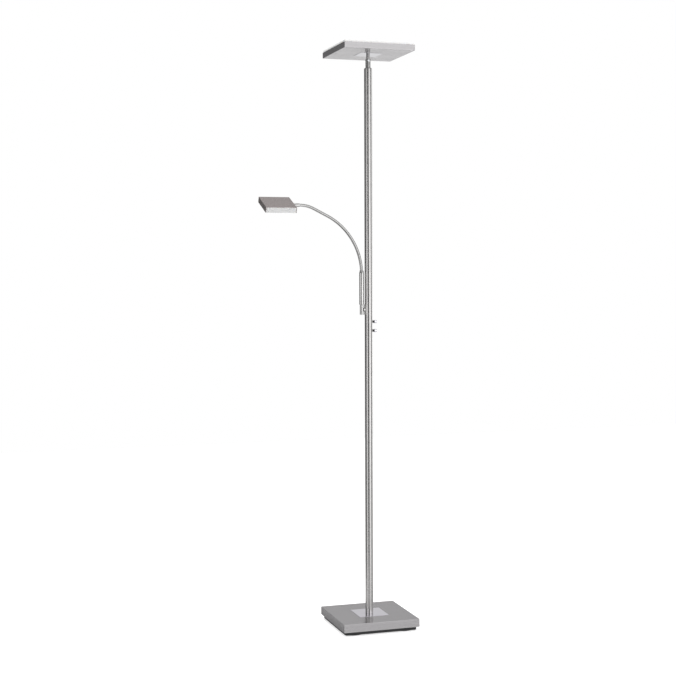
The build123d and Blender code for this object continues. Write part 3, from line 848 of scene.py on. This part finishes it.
def makeGrommet(settings):
    low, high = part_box("cord_grommet")
    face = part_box("base_cover")[1].y
    wallIn = face - coverSet["wall"] - 0.0001
    flange, bore, neck, tail = (settings[k] / 2 for k in ("flange", "bore", "neck", "tail"))
    outline = [(bore, low.y), (tail, low.y), (tail, wallIn), (neck, wallIn), (neck, face), (flange, face),
               (flange, high.y, 0.0009), (bore + 0.0012, high.y, 0.0004), (bore, high.y - 0.001, 0.0004)]
    grommet = lathe("cordGrommet", outline, "y", (0, 0, midOf("cord_grommet").z), segments=64, hollow=True)
    ready(grommet, "stand", trayFinish, ["cord_grommet"])


makeBaseCover(coverSet)
makeTrim("base_chrome_plate", "baseChromePlate", "stand", trimSet["baseHole"], chromeFinish)
makeFeet(footSet)
makeBaseScrews(baseScrewSet)
makeGrommet(grommetSet)
print("base made")


# uplighter

trayWall = {"wall": 0.0015, "round": 0.0009, "edge": 0.00015, "stemHole": 0.0104}
uplightCover = {"wall": 0.003, "round": 0.0012, "edge": 0.0004}
chipSet = {"side": 0.0035, "high": 0.0008, "window": 0.0026, "edge": 0.00012}
postSet = {"side": 0.012, "edge": 0.0006, "hole": 0.0032}


def makeUplightTray(settings):
    low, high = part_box("uplight_tray")
    holes = [rod(settings["stemHole"], low.z - 0.01, low.z + 0.01)]
    tray = casing("uplightTray", low, high, settings, [(0, 0, 1)], holes)
    unfold(tray, low, high, low.z)
    finish = brushedSheet("brushedUplighter", (low + high) / 2, (high - low) / 2)
    ready(tray, "uplighter", finish, ["uplight_tray"])


def makeUplightDiffuser(settings):
    low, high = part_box("uplight_diffuser")
    cover = casing("uplightDiffuser", low, high, settings, [(0, 0, -1)])
    ready(cover, "uplighter", opalFinish, ["uplight_diffuser"])


def ledChip(settings):
    # a square package with a round phosphor window, standing on z = 0
    half, high, window = settings["side"] / 2, settings["high"], settings["window"] / 2
    bm = boxMesh((-half, -half, 0), (half, half, high * 0.9))
    topEdges = [e for e in bm.edges if all(v.co.z > 0 for v in e.verts)]
    bmesh.ops.bevel(bm, geom=topEdges, offset=settings["edge"], segments=1, affect="EDGES")
    count = len(bm.verts)
    rings = []
    for radius, z in ((window, high * 0.88), (window * 0.8, high * 0.97), (window * 0.4, high)):
        angles = [2 * pi * k / 12 for k in range(12)]
        rings.append([bm.verts.new((radius * cos(a), radius * sin(a), z)) for a in angles])
    for lower, upper in zip(rings, rings[1:]):
        for k in range(12):
            bm.faces.new((lower[k], lower[(k + 1) % 12], upper[(k + 1) % 12], upper[k]))
    bm.faces.new(rings[-1])
    bm.faces.new(rings[0][::-1])
    mesh = meshFrom(bm, "ledChip")
    part = mesh.attributes.new("phosphor", "FLOAT", "POINT")
    part.data.foreach_set("value", [0.0] * count + [1.0] * (len(mesh.vertices) - count))
    return addObject("ledChip", mesh)


def makeUplightLeds(settings):
    low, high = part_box("uplight_leds")
    span = high.x - low.x - settings["side"]
    leds = grownOnGrid("uplightLeds", ledChip(settings), ledMix, (0, 0, low.z), 7, 7, span, span)
    ready(leds, "uplighter", None, ["uplight_leds"])


def makeCornerBlocks(settings):
    low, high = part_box("corner_blocks")
    side = settings["side"]
    half = side / 2
    tall = high.z - low.z
    post = plate("post", (-half, -half, 0), (half, half, tall), settings["edge"],
                 [rod(settings["hole"], tall - 0.006, tall + 0.01, segments=24)])
    span = high.x - low.x - side
    blocks = grownOnGrid("cornerBlocks", post, whitePlastic, (0, 0, low.z), 2, 2, span, span)
    ready(blocks, "uplighter", None, ["corner_blocks"])


makeUplightTray(trayWall)
makeTrim("uplight_chrome_plate", "uplightChromePlate", "uplighter", trimSet["uplightHole"], shadedUnderChrome)
makeUplightDiffuser(uplightCover)
makeUplightLeds(chipSet)
makeCornerBlocks(postSet)
print("uplighter made")


# reading arm

tubeSet = {"diameter": 0.009, "upright": 0.212, "shoulder": -0.198, "bends": (0.200, 0.100), "ring": 40}
sleeveSet = {"diameter": 0.0146, "taper": 0.009, "mouth": 0.0112, "stem": 0.008, "grooveDeep": 0.001,
             "bore": 0.0092, "cableBore": 0.0035}
ferruleSet = {"diameter": 0.012, "stem": 0.008, "bore": 0.0091, "cableBore": 0.0045, "lip": 0.0007}


def makeArmTube(settings):
    axis = midOf("arm_sleeve").x
    low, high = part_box("arm_tube")
    level = high.z - settings["diameter"] / 2
    knee = low.z + settings["upright"]
    corners = [(axis, 0, low.z), (axis, 0, knee), (settings["shoulder"], 0, level), (low.x, 0, level)]
    path = bpy.data.meshes.new("armRuns")
    path.from_pydata(corners, [(0, 1), (1, 2), (2, 3)], [])
    first, second = settings["bends"]
    values = {"Diameter": settings["diameter"], "First bend": first, "Second bend": second,
              "Ring segments": settings["ring"], "Finish": armTubeFinish}
    tube = grow("armTube", bentTube, values, path)
    shadeSmooth(tube.data, 40)
    ready(tube, "reading_arm", None, ["arm_tube"])


def makeSleeve(settings):
    low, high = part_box("arm_sleeve")
    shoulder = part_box("arm_fitting")[1].z + 0.0003
    across = ("diameter", "mouth", "stem", "bore", "cableBore")
    outside, mouth, stem, bore, thin = (settings[k] / 2 for k in across)
    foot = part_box("arm_tube")[0].z
    groove = low.z + 0.005
    outline = [
        (thin, low.z), (stem - 0.0003, low.z), (stem, low.z + 0.0003), (stem, groove - 0.0013),
        (stem - settings["grooveDeep"], groove - 0.0013), (stem - settings["grooveDeep"], groove + 0.0013),
        (stem, groove + 0.0013), (stem, shoulder), (outside, shoulder, 0.0004),
        (outside, high.z - settings["taper"], 0.003), (mouth, high.z, 0.0003),
        (bore + 0.0005, high.z), (bore + 0.0005, high.z - 0.014), (bore, high.z - 0.014),
        (bore, foot), (thin, foot),
    ]
    sleeve = lathe("armSleeve", outline, at=(midOf("arm_sleeve").x, 0, 0), hollow=True)
    ready(sleeve, "reading_arm", sleeveFinish, ["arm_sleeve"])


def makeFerrule(settings):
    low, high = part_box("arm_ferrule")
    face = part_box("reading_cover")[1].x + 0.0003
    outside, stem, bore, thin = (settings[k] / 2 for k in ("diameter", "stem", "bore", "cableBore"))
    outline = [
        (thin, low.x), (stem - 0.0003, low.x), (stem, low.x + 0.0003), (stem, face),
        (outside, face, 0.0004), (outside, high.x - 0.008, 0.006),
        (outside - settings["lip"], high.x, 0.0003), (bore, high.x),
        (bore, face + 0.004), (thin, face + 0.004),
    ]
    ferrule = lathe("armFerrule", outline, "x", (0, 0, midOf("arm_ferrule").z), hollow=True)
    ready(ferrule, "reading_arm", ferruleFinish, ["arm_ferrule"])


def alongTubeFinish(name, colour, rough):
    # grain that follows the bent tube, from the place that each point had before bending
    s = Shader(name)
    straight = s.put("ShaderNodeAttribute", attribute_name="unbent").outputs["Vector"]
    grain = s.noise(s.stretch(straight, (1500.0, 1500.0, 30.0)), detail=4)
    rings = s.noise(s.stretch(straight, (30.0, 30.0, 700.0)), detail=3)
    mixed = s.sums("ADD", s.sums("MULTIPLY", grain, 0.4), s.sums("MULTIPLY", rings, 0.6))
    tone = s.blendColours(s.remap(mixed, 0, 1), toned(colour, 0.9), toned(colour, 1.06))
    s.give("Base Color", tone)
    s.give("Roughness", s.remap(mixed, rough - 0.04, rough + 0.05))
    s.give("Metallic", 1.0)
    s.bump(rings, 0.00001, 0.4)
    return s.material


armTubeFinish = alongTubeFinish("satinSteelBentTube", (0.48, 0.476, 0.472), 0.2)
sleeveFinish = brushedRound("satinSteelSleeve", (0.58, 0.575, 0.57), 0.17, "zring")
ferruleFinish = brushedRound("turnedSteelAcross", (0.58, 0.575, 0.57), 0.2, "xring")
makeArmTube(tubeSet)
makeSleeve(sleeveSet)
makeFerrule(ferruleSet)
print("reading arm made")


# reading head

headSet = {"side": 0.097, "deep": 0.0175, "wall": 0.0012, "roll": 22.0, "round": 0.0010, "edge": 0.00012,
           "stemHole": 0.0081}
tubSet = {"wall": 0.002, "round": 0.0012, "edge": 0.0003, "sideGap": 0.0002, "notch": 0.016}


def headPlace(settings):
    return Matrix.Translation(midOf("reading_cover")) @ Matrix.Rotation(radians(settings["roll"]), 4, "X")


def makeReadingCover(settings):
    half, deep = settings["side"] / 2, settings["deep"] / 2
    low, high = Vector((-half, -half, -deep)), Vector((half, half, deep))
    hole = rod(settings["stemHole"], half - 0.005, half + 0.005, "x")
    openSides = [(0, 0, -1), (0, 1, 0), (0, -1, 0)]
    cover = casing("readingCover", low, high, settings, openSides, [hole])
    unfold(cover, low, high, high.z)
    cover.data.transform(headPlace(settings))
    look = dict(brushedLook, colour=(0.375, 0.332, 0.326))
    turn = (radians(settings["roll"]), 0, 0)
    finish = brushedSheet("brushedReadingHead", midOf("reading_cover"), high, look, turn)
    ready(cover, "reading_head", finish, ["reading_cover"])


def makeReadingDiffuser(settings, head):
    half, deep = head["side"] / 2, head["deep"] / 2
    inner = half - head["wall"] - settings["sideGap"]
    top = deep - head["wall"] - 0.0001
    low, high = Vector((-inner, -half, -deep)), Vector((inner, half, top))
    notch = settings["notch"] / 2
    wall = settings["wall"]
    gapMesh = boxMesh((inner - 2 * wall, -notch, -deep + wall), (inner + wall, notch, deep))
    gap = addObject("gap", meshFrom(gapMesh, "gap"))
    tub = casing("readingDiffuser", low, high, settings, [(0, 0, 1)], [gap])
    tub.data.transform(headPlace(head))
    ready(tub, "reading_head", opalFinish, ["reading_diffuser"])


def makeReadingLeds(settings, chip):
    board = settings["deep"] / 2 - settings["wall"] - 0.002 - 0.0016
    down = headPlace(settings) @ Matrix.Translation((0, 0, board)) @ Matrix.Rotation(pi, 4, "X")
    low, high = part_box("reading_leds")
    span = high.x - low.x - chip["side"]
    leds = grownOnGrid("readingLeds", ledChip(chip), ledMix, None, 4, 4, span, span, place=down)
    ready(leds, "reading_head", None, ["reading_leds"])


makeReadingCover(headSet)
makeReadingDiffuser(tubSet, headSet)
makeReadingLeds(headSet, chipSet)
print("reading head made")


# push buttons

buttonSet = {"round": 0.0013, "dish": 0.0005, "diameter": 0.010}
collarSet = {"diameter": 0.0101, "bore": 0.0081, "round": 0.0005, "ridges": 24,
             "ridge": (0.0006, 0.0005, 0.0022)}


def makeButtons(settings):
    for node, name, body in (
        ("uplight_button", "uplightButton", "uplight_switch"),
        ("reading_button", "readingButton", "reading_switch"),
    ):
        low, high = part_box(node)
        radius = settings["diameter"] / 2
        dish = settings["dish"]
        outline = [(0, low.x), (radius, low.x, 0.0004), (radius, high.x, settings["round"]),
                   (radius * 0.55, high.x), (radius * 0.3, high.x - dish * 0.8), (0, high.x - dish)]
        button = lathe(name, outline, "x", (0, 0, midOf(node).z), segments=72)
        ready(button, body, chromeFinish, [node])


def makeCollars(settings, pole):
    low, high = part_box("button_collars")
    levels = sorted(midOf(node).z for node in ("uplight_button", "reading_button"))
    radius, bore = settings["diameter"] / 2, settings["bore"] / 2
    deep = high.x - low.x
    outline = [(bore, 0), (radius, 0), (radius, deep, settings["round"]), (bore, deep, 0.0003)]
    ring = lathe("collarRing", outline, segments=72, hollow=True)
    mesh = ring.data
    bpy.data.objects.remove(ring)
    values = {"Count": settings["ridges"], "Ring radius": radius, "Ridge": settings["ridge"],
              "Height": deep - 0.0020, "Finish": trayFinish}
    collar = grow("collar", ridgesRound, values, mesh)
    values = {"Part": collar, "Columns": 2, "Rows": 1, "Width": levels[1] - levels[0], "Depth": 0.0,
              "Turn": 0.0, "Seed": 1, "Finish": trayFinish}
    middle = (low.x, 0, sum(levels) / 2)
    upTheSide = Matrix.Translation(middle) @ Matrix.Rotation(pi / 2, 4, "Y")
    pair = grow("buttonCollars", partsOnGrid, values, place=upTheSide)
    bpy.data.objects.remove(collar)
    around = rod(pole["diameter"] + 0.00004, levels[0] - 0.02, levels[1] + 0.02, segments=pole["segments"])
    cut(pair, [around])
    shadeSmooth(pair.data)
    ready(pair, "stand", None, ["button_collars"])


makeButtons(buttonSet)
makeCollars(collarSet, poleSet)
print("push buttons made")


# finishes of the parts that keep their plain shape

plainParts = {
    poleFinish: ("arm_saddle",),
    neckFinish: ("knuckle_fork", "knuckle_neck"),
    fittingFinish: ("arm_fitting", "arm_pin"),
    zincFinish: ("foot_washer", "foot_nut", "knuckle_screw", "knuckle_nut", "swivel_nut", "neck_washer",
                 "neck_nut", "arm_pin_nut", "arm_grub_screws", "board_screws", "board_spacers",
                 "ferrule_nut"),
    brassFinish: ("foot_nipple", "pole_couplers", "pole_foot_plug"),
    ironFinish: ("base_weight",),
    trayFinish: ("base_tray", "uplight_plunger", "reading_plunger", "switch_housings"),
    rubberFinish: ("pole_cable",),
    whitePlastic: ("led_driver",),
    aluminiumFinish: ("reading_spreader",),
    boardMask: ("uplight_board", "reading_board"),
}
for finish, names in plainParts.items():
    for name in names:
        nodes[name].material_slots[0].material = finish
print("plain parts finished")
